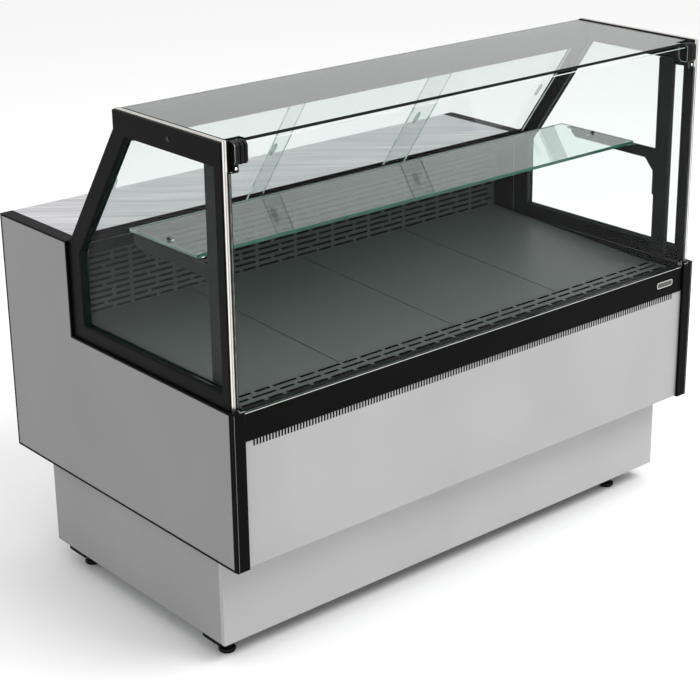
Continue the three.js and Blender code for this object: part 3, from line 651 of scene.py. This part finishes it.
DECK_FRONT_Z, TRAY_T, FLANGE, SEAM = 630.0, 2, 14, 1.1
for tray in range(1, 5):
    tray_x, (near, far), (_, rear_z) = extents(f"deck_tray_{tray}")
    pan = bmesh.new()
    prism(pan, "x", [
        (near, DECK_FRONT_Z), (near, DECK_FRONT_Z - FLANGE), (near + TRAY_T, DECK_FRONT_Z - FLANGE),
        (near + TRAY_T, DECK_FRONT_Z - TRAY_T), (far - TRAY_T, rear_z - TRAY_T), (far - TRAY_T, rear_z - FLANGE),
        (far, rear_z - FLANGE), (far, rear_z)], tray_x[0] + SEAM, tray_x[1] - SEAM)
    finish_piece(f"deck_tray_sheet_{tray}", pan, [DARK_SHEET], "case", 0.9,
                 replaces=(f"deck_tray_{tray}",))

duct_x, _, duct_z = extents("rear_air_duct")
DUCT_FACE, DUCT_ROWS = 701.6, 11
SLOT_MODULE, SLOT_BRIDGE, ROW_PITCH, SLOT_HIGH = 127.0, 9.5, 15.0, 6.8
SHORTEST_SLOT = 5
LOWEST_ROW = 661.5  # just clear of the rear edge of the deck
SHORT_FIRST, LONG_FIRST = 51.0, 75.5  # where the bridge inside a module is, in the two kinds of row


def slot_spans(low, high, aligned, inside):
    """Slots from low to high, split by the bridges at each module's start and by one inside it."""
    spans, at = [], low
    start = aligned - SLOT_MODULE * math.ceil((aligned - low) / SLOT_MODULE)
    while at <= high - SHORTEST_SLOT:
        for bridge in (start, start + inside):
            if at <= high - SHORTEST_SLOT:
                if bridge - SLOT_BRIDGE / 2 - at > SHORTEST_SLOT:
                    spans.append((at, min(bridge - SLOT_BRIDGE / 2, high)))
                at = max(at, bridge + SLOT_BRIDGE / 2)
        start += SLOT_MODULE
    return spans


u_cuts = {duct_x[0], duct_x[1]}
rows = []
for row in range(DUCT_ROWS):
    row_z = LOWEST_ROW + row * ROW_PITCH
    spans = [(duct_x[0] + 5, duct_x[0] + 23), *slot_spans(
        duct_x[0] + 30.5, duct_x[1] - 12, duct_x[0] + 63, SHORT_FIRST if row % 3 == 1 else LONG_FIRST)]
    for span in spans:
        u_cuts.update(span)
    rows.append((row_z, row_z + SLOT_HIGH, spans))
v_cuts = sorted({duct_z[0] + 0.5, duct_z[1], *[r[0] for r in rows], *[r[1] for r in rows]})


def in_duct_slot(u, v):
    return any(low < v < high and any(a < u < b for a, b in spans) for low, high, spans in rows)


duct = bmesh.new()
cell_sheet(duct, "y", sorted(u_cuts), v_cuts, DUCT_FACE, DUCT_FACE + SHEET, in_duct_slot)
finish_piece("rear_duct_sheet", duct, [DUCT_SHEET], "case", replaces=("rear_air_duct",))
# a near-black sheet behind the duct's slots: painted shade inside the air channel
void = bmesh.new()
block(void, (duct_x[0] + 3, duct_x[1] - 3), (DUCT_FACE + 9, DUCT_FACE + 10.5), (duct_z[0] + 2, duct_z[1] - 2))
finish_piece("rear_duct_painted_shade", void, [SHADE_BEHIND_SLOTS], "case")

grid_x, grid_y, grid_z = extents("front_air_grille")
top_z = grid_z[1]
tray_seam = extents("deck_tray_1")[0][1]
GRILLE_REAR = 120.4
grid_rows = [(106.6, 116.8, LONG_FIRST), (82.6, 92.8, SHORT_FIRST), (56.6, 68.8, LONG_FIRST)]
u_cuts = {grid_x[0], grid_x[1]}
spans_of = []
for low, high, inside in grid_rows:
    spans = slot_spans(grid_x[0] + 8, grid_x[1] - 8, tray_seam - LONG_FIRST, inside)
    for span in spans:
        u_cuts.update(span)
    spans_of.append((low, high, spans))
v_cuts = sorted({grid_y[0], GRILLE_REAR, *[r[0] for r in grid_rows], *[r[1] for r in grid_rows]})


def in_grille_slot(u, v):
    return any(low < v < high and any(a < u < b for a, b in spans) for low, high, spans in spans_of)


grid = bmesh.new()
cell_sheet(grid, "z", sorted(u_cuts), v_cuts, top_z - SHEET, top_z, in_grille_slot)
block(grid, grid_x, (grid_y[0], grid_y[0] + 2), (grid_z[0], top_z - SHEET))
finish_piece("front_grille_sheet", grid, [DARK_SHEET], "case", replaces=("front_air_grille",))
# near-black sheets under and behind the grille's slots: painted shade inside the air channel
void = bmesh.new()
block(void, (grid_x[0] + 3, grid_x[1] - 3), (grid_y[0] + 38, 119), (top_z - 14, top_z - 12))
block(void, (grid_x[0] + 3, grid_x[1] - 3), (118.2, 119.2), (top_z - 14, top_z - 1.2))
finish_piece("front_grille_painted_shade", void, [SHADE_BEHIND_SLOTS], "case")

# a black strip along the front of the grille, with a ridge as a seat for the front glass; its black also paints the
# shade of the gutter between grille and bumper
seat = bmesh.new()
prism(seat, "x", [(22.4, top_z + 0.2), (56, top_z + 0.2), (56, top_z + 1.4), (36, top_z + 1.4), (33, top_z + 7),
                  (31, top_z + 7), (31, top_z + 1.4), (22.4, top_z + 1.4)], grid_x[0] + 1, grid_x[1] - 1)
finish_piece("front_glass_seat_and_painted_shade", seat, [BLACK_ALONG_X], "case", 0.3)
for hand, side in SIDES:
    lining = bmesh.new()
    prism(lining, "x", [(22, 606), (724, 606), (724, 883), (STEP_Y + 1, 883),
                        (STEP_Y + 1, PANEL_LOW - 0.4), (22, PANEL_LOW - 0.4)], *mirrored(side, 715.0, 715.6))
    finish_piece(f"display_side_lining_{hand}", lining, [BLACK_SHEET], "case")

# ---------------------------------------------------------------- side frames, strips and shelf

RAIL = 40.5  # width of the sloping rail, square to it
SLOPE_FOOT, SLOPE_LENGTH = Vector((615.4, 885.0)), 371.9
UP, IN = Vector((-0.5683, 0.8227)), Vector((-0.8227, -0.5683))


def on_slope(up, inward):
    """A point up the sloping rear of the glass housing, and in from it, as (distance behind front, height)."""
    return tuple(SLOPE_FOOT + UP * up + IN * inward)


frame_x = extents("side_frame_right")[0]
rail = on_slope(0, RAIL)
window_low, window_high, window_front, window_rear = 686.0, 1182.5, 37.0, 578.0
WINDOW = [(window_front, window_low), (window_rear, window_low),
          (window_rear, rail[1] - (window_rear - rail[0]) * (UP.y / -UP.x)),
          (rail[0] - (window_high - rail[1]) * (-UP.x / UP.y), window_high), (window_front, window_high)]
STRIP_T = 2.4
for hand, side in SIDES:
    dress(f"side_frame_{hand}", BLACK_FRAME, 1.6)
    dress(f"shelf_upright_{hand}", BRACKET_SHEET, 1.2)
    dress(f"shelf_bracket_{hand}", BRACKET_SHEET, 0.6)
    bead = bmesh.new()
    for x_range in ((frame_x[0] + 0.8, frame_x[0] + 5.4), (frame_x[1] - 9.4, frame_x[1] - 0.9)):
        ring(bead, "x", shrink(WINDOW, -0.2), shrink(WINDOW, 2.6), *mirrored(side, *x_range))
    finish_piece(f"side_glass_bead_{hand}", bead, [RUBBER], "case", 0.5)
    screw = bmesh.new()
    lathe(screw, [(0, 0.9), (3.4, 0.9), (3.4, 0.2), (4.2, 0.0), (6.0, 1.2), (6.4, 0.6), (6.4, -0.4), (0, -0.4)],
          (side * frame_x[1] * MM, from_front(197), 1207 * MM), (side, 0, 0), 28)
    finish_piece(f"side_frame_screw_{hand}", screw, [BLACK_ENAMEL], "case", smooth=True)
    strip_x, strip_y, strip_z = extents(f"edge_strip_{hand}")
    proud, sunk = [
        [(strip_y[0] + below, PANEL_LOW + 0.6), (strip_y[0] + STRIP_T, PANEL_LOW + 0.6),
         (strip_y[0] + STRIP_T, strip_z[1] - STRIP_T), (strip_y[1], strip_z[1] - STRIP_T),
         (strip_y[1], strip_z[1] - below), (strip_y[0] + below, strip_z[1] - below)] for below in (0.0, 0.9)]
    outer, inner_x = (strip_x[1], strip_x[0]) if side > 0 else (strip_x[0], strip_x[1])
    strip = bmesh.new()
    for near, far, outline, slot in ((0.0, 0.27, proud, 0), (0.27, 0.48, sunk, 1),
                                     (0.48, 0.78, proud, 0), (0.78, 1.0, sunk, 2)):
        ends_x = sorted((outer + (inner_x - outer) * near, outer + (inner_x - outer) * far))
        prism(strip, "x", outline, *ends_x, slot)
    finish_piece(f"edge_strip_profile_{hand}", strip, [BRIGHT_TRIM, BEIGE_TRIM, RUBBER], "case",
                 replaces=(f"edge_strip_{hand}",))

shelf_x, shelf_y, shelf_z = extents("glass_shelf")
for hand, side in SIDES:
    clip = bmesh.new()
    here, along = side * (HALF - 70), 303.0
    lathe(clip, [(0, 4.2), (3.6, 4.2), (4.6, 3.2), (4.8, 0.2), (4.8, 0), (0, 0)],
          (here * MM, from_front(along), shelf_z[1] * MM), (0, 0, 1), 24, 0)
    lathe(clip, [(0, -3.0), (5.4, -3.0), (6.0, -2.2), (6.0, 0), (0, 0)],
          (here * MM + side * -0.012, from_front(along + 6), shelf_z[0] * MM), (0, 0, 1), 24, 1)
    finish_piece(f"shelf_clamp_{hand}", clip, [BLACK_MOULDING, CHROME], "case", smooth=True)
    tip = bmesh.new()
    block(tip, mirrored(side, shelf_x[1] - 22, shelf_x[1] - 4), (shelf_y[0] - 1, shelf_y[0] + 12),
          (shelf_z[0] - 2.2, shelf_z[0] - 0.1))
    finish_piece(f"shelf_corner_pad_{hand}", tip, [CHROME], "case", 0.4)


# ---------------------------------------------------------------- glass

EDGE_AREA, CROWN_HEIGHT = 0.05, 1.2  # square metres and metres: what counts as an edge, and as the topmost one


def glass_sheet(name, axis, outline, start, end, body, replaced, face, rim=GLASS_EDGE, ends=None,
                crown=None):
    """A pane with polished edges: rim all round, or other looks on the ends and on the topmost edge."""
    mesh = bmesh.new()
    for side_face in prism(mesh, axis, outline, start, end, 0):
        side_face.normal_update()
        if side_face.calc_area() < EDGE_AREA:
            side_face.material_index = 2 if ends and abs(side_face.normal.x) > 0.9 else 1
            if crown and side_face.calc_center_median().z > CROWN_HEIGHT:
                side_face.material_index = 3
    looks = [look for look in (face, rim, ends, crown) if look]
    finish_piece(name, mesh, looks, body, replaces=(replaced,))


front_y = extents("front_glass")[1]
glass_sheet("front_glass_pane", "y", [
    (-715.9, 643.8), (715.9, 643.8), (715.9, 657), (725.7, 657), (725.7, 1168), (704.2, 1168), (704.2, 1223),
    (-704.2, 1223), (-704.2, 1168), (-725.7, 1168), (-725.7, 657), (-715.9, 657)],
    *front_y, "front_window", "front_glass", PANE, DARK_EDGE, HALF_LIT_GLASS_EDGE, LIT_GLASS_EDGE)
_, (_, top_rear), top_z_range = extents("top_glass")
trim = bmesh.new()
block(trim, (-680, 680), (15.8, 16.9), (top_z_range[0] - 0.4, top_z_range[1] + 0.4))
finish_piece("top_glass_edge_trim", trim, [TRIM_GREEN], "case", 0.3)
glass_sheet("top_glass_pane", "z", [
    (-717.4, 36), (-680, 36), (-680, 17), (680, 17), (680, 36), (717.4, 36), (717.4, top_rear),
    (-717.4, top_rear)], *top_z_range, "case", "top_glass", TOP_GLASS, DARK_EDGE)
glass_sheet("glass_shelf_pane", "z", [
    (shelf_x[0], shelf_y[0]), (shelf_x[1], shelf_y[0]), (shelf_x[1], shelf_y[1]), (shelf_x[0], shelf_y[1])],
    *shelf_z, "case", "glass_shelf", SHELF_GLASS, ends=PALE_EDGE)
PANE_MIDDLE, PANE_SCALE = Vector((200.0, 900.0)), 0.998
for hand, side in SIDES:
    glass_sheet(f"side_glass_pane_{hand}", "x", [
        tuple(PANE_MIDDLE + (Vector(corner) - PANE_MIDDLE) * PANE_SCALE) for corner in WINDOW],
        *mirrored(side, 724.0, 734.0), "case", f"side_glass_{hand}", PANE, DARK_EDGE)

PULL_UP, PULL_STEPS = 183.0, 32
PULL_RIMS = ((7.5, 21, 2.5), (7.5, 21, 4.2), (6.6, 20, 4.8), (5.2, 18, 4.8), (4.2, 16, 3.3))
HALF_DOOR_T = 2.5
DOORS = (("left", 7.5, (-683.0, -233.0)), ("middle", 20.5, ()), ("right", 7.5, (233.0, 683.0)))
for hand, inward, pulls in DOORS:
    door_x = extents(f"sliding_door_{hand}")[0]
    foot_up, head_up = 22.0 if hand == "middle" else 12.5, SLOPE_LENGTH - 3.5
    outline = [on_slope(foot_up, inward - HALF_DOOR_T), on_slope(head_up, inward - HALF_DOOR_T),
               on_slope(head_up, inward + HALF_DOOR_T), on_slope(foot_up, inward + HALF_DOOR_T)]
    glass_sheet(f"sliding_door_pane_{hand}", "x", outline, *door_x, f"service_door_{hand}",
                f"sliding_door_{hand}", DOOR_GLASS, LIT_GLASS_EDGE)
    if pulls:
        pull = bmesh.new()
        for middle in pulls:
            rims = []
            for half_x, half_up, lift in PULL_RIMS:
                rims.append([])
                for i in range(PULL_STEPS):
                    angle = 2 * math.pi * i / PULL_STEPS
                    yf, z = on_slope(PULL_UP + half_up * math.sin(angle), inward - lift)
                    x = middle + half_x * math.cos(angle)
                    rims[-1].append(pull.verts.new((x * MM, from_front(yf), z * MM)))
            for near, far in zip(rims, rims[1:]):
                for i in range(PULL_STEPS):
                    j = (i + 1) % PULL_STEPS
                    pull.faces.new((near[i], near[j], far[j], far[i]))
            pull.faces.new(rims[0])
            pull.faces.new(rims[-1])
        finish_piece(f"finger_pull_{hand}", pull, [CLEAR_PLASTIC], f"service_door_{hand}",
                     smooth=True)

dress("rear_header", BLACK_ALONG_X, 0.6)
dress("door_track", BLACK_ALONG_X, 0.3)

# ---------------------------------------------------------------- hinges

KNUCKLE = [(4, 1186), (0, 1192), (0, 1226), (6, 1232), (25, 1232), (32, 1226), (32, 1196), (23, 1186)]
CHEEK = [(3, 1185), (-1.5, 1191), (-1.5, 1226), (5, 1232), (25, 1232), (32, 1226), (32, 1197), (22, 1185)]
for hand, side in SIDES:
    fixed = bmesh.new()
    prism(fixed, "x", KNUCKLE, *mirrored(side, 705.2, 717.4))
    prism(fixed, "x", [(8, 1168), (20, 1168), (22, 1187), (6, 1187)], *mirrored(side, 706.5, 716.5))
    prism(fixed, "x", [(20, 1170), (63, 1168), (63, 1213), (20, 1213)], *mirrored(side, 714.4, 717.4))
    finish_piece(f"hinge_base_moulding_{hand}", fixed, [BLACK_MOULDING], "case", 1.2, 3,
                 replaces=(f"hinge_base_{hand}",))
    # a thin chrome ring just inside the hinge's outline: painted highlight along the edge of the black moulding
    rim = bmesh.new()
    ring(rim, "x", shrink(KNUCKLE, 0.8), shrink(KNUCKLE, 1.7), *mirrored(side, 717.2, 717.8))
    finish_piece(f"hinge_base_painted_highlight_rim_{hand}", rim, [CHROME], "case")
    pin = bmesh.new()
    lathe(pin, [(0, 1.6), (2.4, 1.6), (3.4, 0.8), (3.6, 0.0), (0, 0.0)],
          (side * 711.5 * MM, from_front(7.4), 1177 * MM), (0, -1, 0), 24)
    finish_piece(f"hinge_base_screw_{hand}", pin, [CHROME], "case", smooth=True)
    # a thin chrome ring just inside the clamp's outline: painted highlight along the edge of the black moulding
    rim = bmesh.new()
    ring(rim, "x", shrink(KNUCKLE, 1.6), shrink(KNUCKLE, 2.5), *mirrored(side, 685.6, 686.3))
    finish_piece(f"hinge_clamp_painted_highlight_rim_{hand}", rim, [CHROME], "front_window")
    moving = bmesh.new()
    for x_range in ((686.0, 693.6), (696.4, 704.4)):
        prism(moving, "x", CHEEK, *mirrored(side, *x_range))
    prism(moving, "x", shrink(CHEEK, 2.2), *mirrored(side, 693.0, 697.0))
    finish_piece(f"hinge_clamp_moulding_{hand}", moving, [BLACK_MOULDING], "front_window",
                 1.2, 3, replaces=(f"hinge_clamp_{hand}",))

# ---------------------------------------------------------------- worktop and service side

dress("worktop", STAINLESS, 1.2)
cover = bmesh.new()
block(cover, (-715.0, 715.0), (576.4, 577.8), (856.5, 883.6))
finish_piece("worktop_front_cover", cover, [BLACK_SHEET], "case", 0.4)
dress("control_panel", GREY_SHEET, 0.5)
dress("mains_switch", BLACK_ENAMEL, 0.5)
dress("mains_inlet", BLACK_MOULDING, 0.6)
dress("evaporator_coil", FINS)
dress("evaporator_fan_plate", GALVANISED)
dress("evaporator_fan_left", BLACK_MOULDING)
dress("evaporator_fan_right", BLACK_MOULDING)
dress("condenser_fan", BLACK_MOULDING)
dress("condenser", FINS)
dress("compressor", BLACK_ENAMEL)

face_y = extents("control_panel")[1][1]
knob_x, _, knob_z = extents("thermostat_knob")
centre = ((knob_x[0] + knob_x[1]) / 2, (knob_z[0] + knob_z[1]) / 2)
knob = bmesh.new()
lathe(knob, [(0, -7), (3, -7), (3, 1), (20.4, 1), (21, 1.6), (21, 4.2), (20.2, 5), (16.6, 5.2), (15.4, 16.4),
             (14.2, 17.6), (0, 17.8)], (centre[0] * MM, from_front(face_y), centre[1] * MM), (0, 1, 0), 48)
finish_piece("thermostat_knob_moulding", knob, [BLACK_MOULDING], "thermostat_dial",
             replaces=("thermostat_knob",), smooth=True)
pointer = bmesh.new()
block(pointer, (centre[0] - 0.8, centre[0] + 0.8), (face_y + 17.4, face_y + 18.1), (centre[1] + 2, centre[1] + 13))
finish_piece("thermostat_pointer", pointer, [PALE_SHEET], "thermostat_dial")
ticks = bmesh.new()
near, far, wide = 24.0, 29.0, 0.6
for step in range(11):
    angle = math.radians(90 + 27 * step)
    along, across = Vector((math.cos(angle), math.sin(angle))), Vector((-math.sin(angle), math.cos(angle)))
    corners = [tuple(Vector(centre) + along * r + across * w)
               for r, w in ((near, -wide), (far, -wide), (far, wide), (near, wide))]
    prism(ticks, "y", corners, face_y - 0.05, face_y + 0.15)
finish_piece("thermostat_scale", ticks, [BLACK_SHEET], "case")
switch_x = extents("mains_switch")[0]
bezel = bmesh.new()
hole = [(switch_x[0] - 1.4, 733), (switch_x[1] + 1.4, 733), (switch_x[1] + 1.4, 757), (switch_x[0] - 1.4, 757)]
ring(bezel, "y", shrink(hole, -3.4), hole, face_y + 0.05, face_y + 1.8)
finish_piece("mains_switch_bezel", bezel, [BLACK_MOULDING], "case", 0.5)


def screw_heads(name, profile, across, heights, face):
    """Pan-head screws in a face that looks to the service side."""
    heads = bmesh.new()
    for x in across:
        for z in heights:
            lathe(heads, profile, (x * MM, from_front(face), z * MM), (0, 1, 0), 20)
    finish_piece(name, heads, [CHROME], "case", smooth=True)


screw_heads("control_panel_screws", [(0, 1.7), (1.5, 1.7), (3.4, 1.0), (4.0, 0.1), (0, 0.1)],
            (-690, -230, 230, 690), (620, 866), face_y)
screw_heads("plinth_rear_screws", [(0, 1.5), (1.4, 1.5), (3.0, 0.9), (3.6, 0.1), (0, 0.1)],
            (-700, 60, 700), (64, 262), grille_y[1])

for hand, side in SIDES:
    door_x, door_y, door_z = extents(f"reserve_door_{hand}")
    pivot = bmesh.new()
    for z in ((door_z[0] - 2.2, door_z[0] - 0.6), (door_z[1] + 0.6, door_z[1] + 2.2)):
        block(pivot, mirrored(side, 694, 715.2), (door_y[1] - 16, door_y[1] + 1.5), z)
    finish_piece(f"reserve_pivot_plate_{hand}", pivot, [CHROME], "case", 0.3)
    door = bmesh.new()
    block(door, door_x, (door_y[0] + 7, door_y[1]), door_z)
    block(door, (door_x[0] + 18, door_x[1] - 18), (door_y[0] + 0.5, door_y[0] + 7), (door_z[0] + 14, door_z[1] - 14))
    finish_piece(f"reserve_door_panel_{hand}", door, [GREY_PANEL], f"reserve_{hand}", 1.4,
                 replaces=(f"reserve_door_{hand}",))
    seal = bmesh.new()
    outline = [(door_x[0] + 5, door_z[0] + 3), (door_x[1] - 5, door_z[0] + 3),
               (door_x[1] - 5, door_z[1] - 3), (door_x[0] + 5, door_z[1] - 3)]
    ring(seal, "y", outline, shrink(outline, 10), door_y[0] + 0.2, door_y[0] + 6.6)
    finish_piece(f"reserve_door_gasket_{hand}", seal, [RUBBER], f"reserve_{hand}", 1.6)
    grip_x, grip_y, grip_z = extents(f"reserve_handle_{hand}")
    grip = bmesh.new()
    prism(grip, "x", [
        (grip_y[0], grip_z[0] + 2), (grip_y[1] - 9, grip_z[0]), (grip_y[1], grip_z[0] + 9),
        (grip_y[1], grip_z[1] - 9), (grip_y[1] - 9, grip_z[1]), (grip_y[0], grip_z[1] - 2),
        (grip_y[0], grip_z[1] - 12), (grip_y[1] - 11, grip_z[1] - 11), (grip_y[1] - 8.4, grip_z[1] - 15),
        (grip_y[1] - 8.4, grip_z[0] + 15), (grip_y[1] - 11, grip_z[0] + 11), (grip_y[0], grip_z[0] + 12)],
        *grip_x)
    finish_piece(f"reserve_handle_moulding_{hand}", grip, [BLACK_MOULDING], f"reserve_{hand}",
                 1.8, 3, replaces=(f"reserve_handle_{hand}",))

# ---------------------------------------------------------------- floor

FLOOR_HALF = 30
floor_mesh = bmesh.new()
floor_mesh.faces.new([floor_mesh.verts.new((x * FLOOR_HALF, y * FLOOR_HALF, -0.0005))
                      for x, y in ((-1, -1), (1, -1), (1, 1), (-1, 1))])
floor_data = bpy.data.meshes.new("studio_floor")
floor_mesh.to_mesh(floor_data)
floor_mesh.free()
floor = bpy.data.objects.new("studio_floor", floor_data)
bpy.context.scene.collection.objects.link(floor)
floor_data.materials.append(powder_coat("white_studio_floor", "#F7F7F7", 0.9, 0.0, 0.0))
